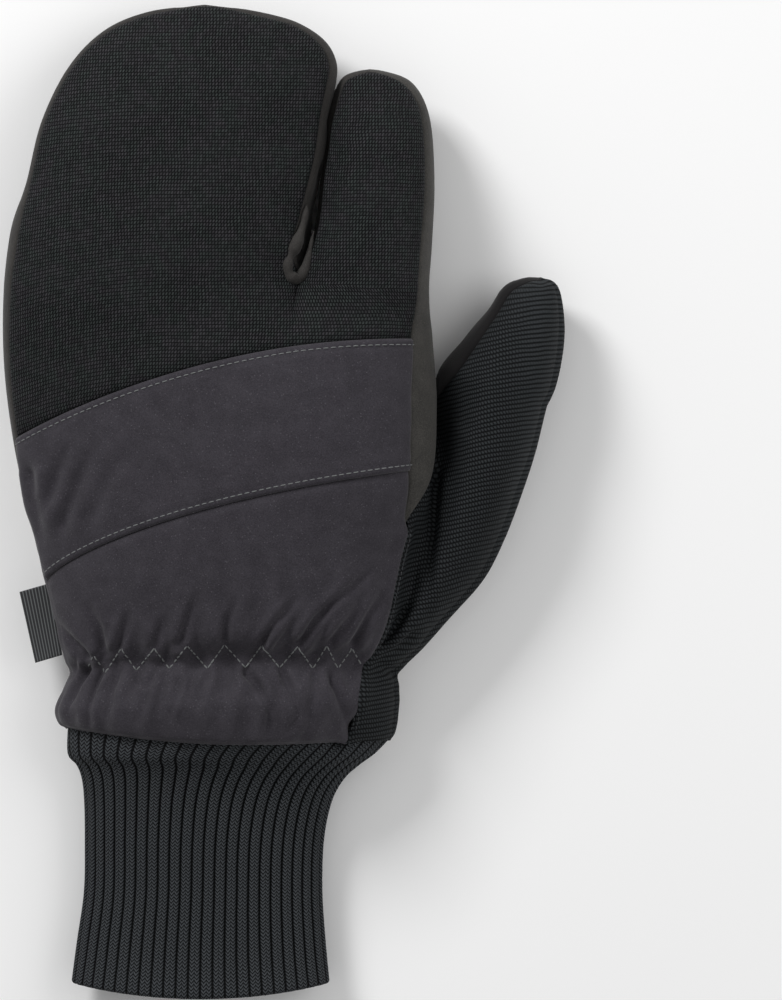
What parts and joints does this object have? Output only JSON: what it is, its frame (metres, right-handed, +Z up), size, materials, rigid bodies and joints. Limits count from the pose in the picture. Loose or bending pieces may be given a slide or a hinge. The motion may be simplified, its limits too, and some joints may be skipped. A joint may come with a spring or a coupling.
{
  "type": "lobster claw mitt",
  "caption": "Padded left-hand winter mitt with its own parts for index finger and thumb, leather palm, gathered wrist and ribbed knit cuff.",
  "frame": {"origin": "middle of the mitt's outline, on the surface that it lies on", "axes": "+X from the little finger to the thumb, +Y from the cuff to the fingertips, +Z up out of the back of the hand"},
  "size_m": [0.1756, 0.3096, 0.047],
  "materials": {
    "waffle_knit": "black waffle knit",
    "side_knit": "black ribbed knit",
    "softshell": "charcoal softshell",
    "side_softshell": "brown-grey softshell",
    "white_leather": "white goatskin, grained",
    "black_leather": "black leather, quilted",
    "nubuck": "black nubuck",
    "fleece": "dark blue-grey fleece",
    "rib_knit": "dark grey ribbed knit",
    "woven_label": "woven, with pale stripes"
  },
  "bodies": {
    "root": {"hand_back": "waffle_knit", "knuckle_band": "softshell", "gauntlet": "softshell", "thumb_back": "side_knit", "outer_side_wall": "side_softshell", "finger_gusset": "side_softshell", "index_side_wall": "side_softshell", "palm_leather": "white_leather", "flex_strip": "black_leather", "finger_leather": "white_leather", "mitten_patch": "fleece", "index_patch": "nubuck", "thumb_patch": "nubuck", "knit_cuff": "rib_knit", "side_label": "woven_label"}
  },
  "joints": []
}
